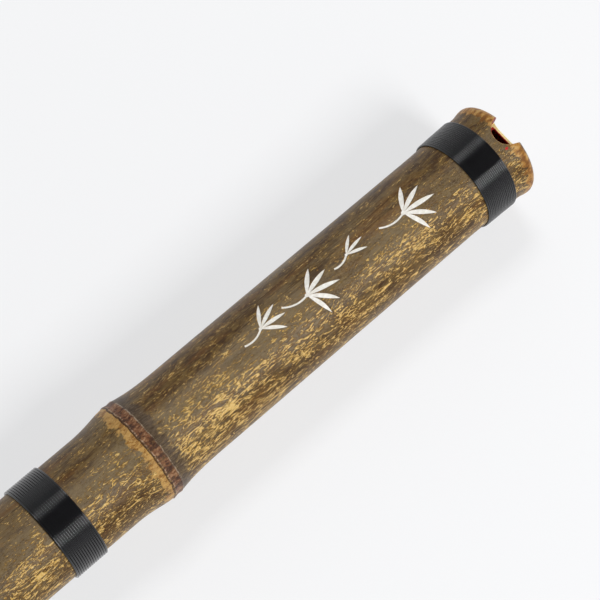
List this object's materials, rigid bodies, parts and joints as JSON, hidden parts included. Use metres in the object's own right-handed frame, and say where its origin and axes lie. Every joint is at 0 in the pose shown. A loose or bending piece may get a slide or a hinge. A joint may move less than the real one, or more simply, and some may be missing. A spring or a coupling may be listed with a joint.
{
  "type": "bamboo flute",
  "caption": "End-blown bamboo flute with a U notch at the mouth, finger holes, thread bindings, engraved leaf sprays and a metal-sleeved joint that pulls apart and turns.",
  "frame": {"origin": "under the middle of the flute's length, on its centre line, at the height of its lowest point", "axes": "+X along the bore towards the mouth end, +Z the way the notch and the front finger holes face"},
  "size_m": [0.562, 0.038, 0.038],
  "materials": {
    "bamboo": "mottled brown and gold skin under a semi-gloss varnish",
    "bore_lacquer": "glossy red lacquer",
    "thread": "black waxed nylon thread with a soft gloss",
    "paint": "matte white engraving paint",
    "brass": "turned and polished",
    "seal": "matte black"
  },
  "bodies": {
    "lower_section": {"lower_tube": "bamboo", "lower_bore_lacquer": "bore_lacquer", "socket_sleeve": "brass", "lower_ferrule": "brass", "binding_4": "thread", "binding_5": "thread", "binding_6": "thread", "binding_7": "thread", "binding_8": "thread"},
    "tenon_seals": {"tenon_seal_1": "seal", "tenon_seal_2": "seal"},
    "upper_section": {"upper_tube": "bamboo", "upper_bore_lacquer": "bore_lacquer", "engraving_paint": "paint", "tenon_sleeve": "brass", "upper_ferrule": "brass", "binding_1": "thread", "binding_2": "thread", "binding_3": "thread"}
  },
  "joints": [
    {"name": "tenon_pull", "type": "slide", "parent": "lower_section", "child": "tenon_seals", "axis": [1, 0, 0], "range_m": [0, 0.03]},
    {"name": "tenon_twist", "type": "hinge", "parent": "tenon_seals", "child": "upper_section", "pos_m": [0.0105, 0, 0.019], "axis": [1, 0, 0], "continuous": true}
  ]
}
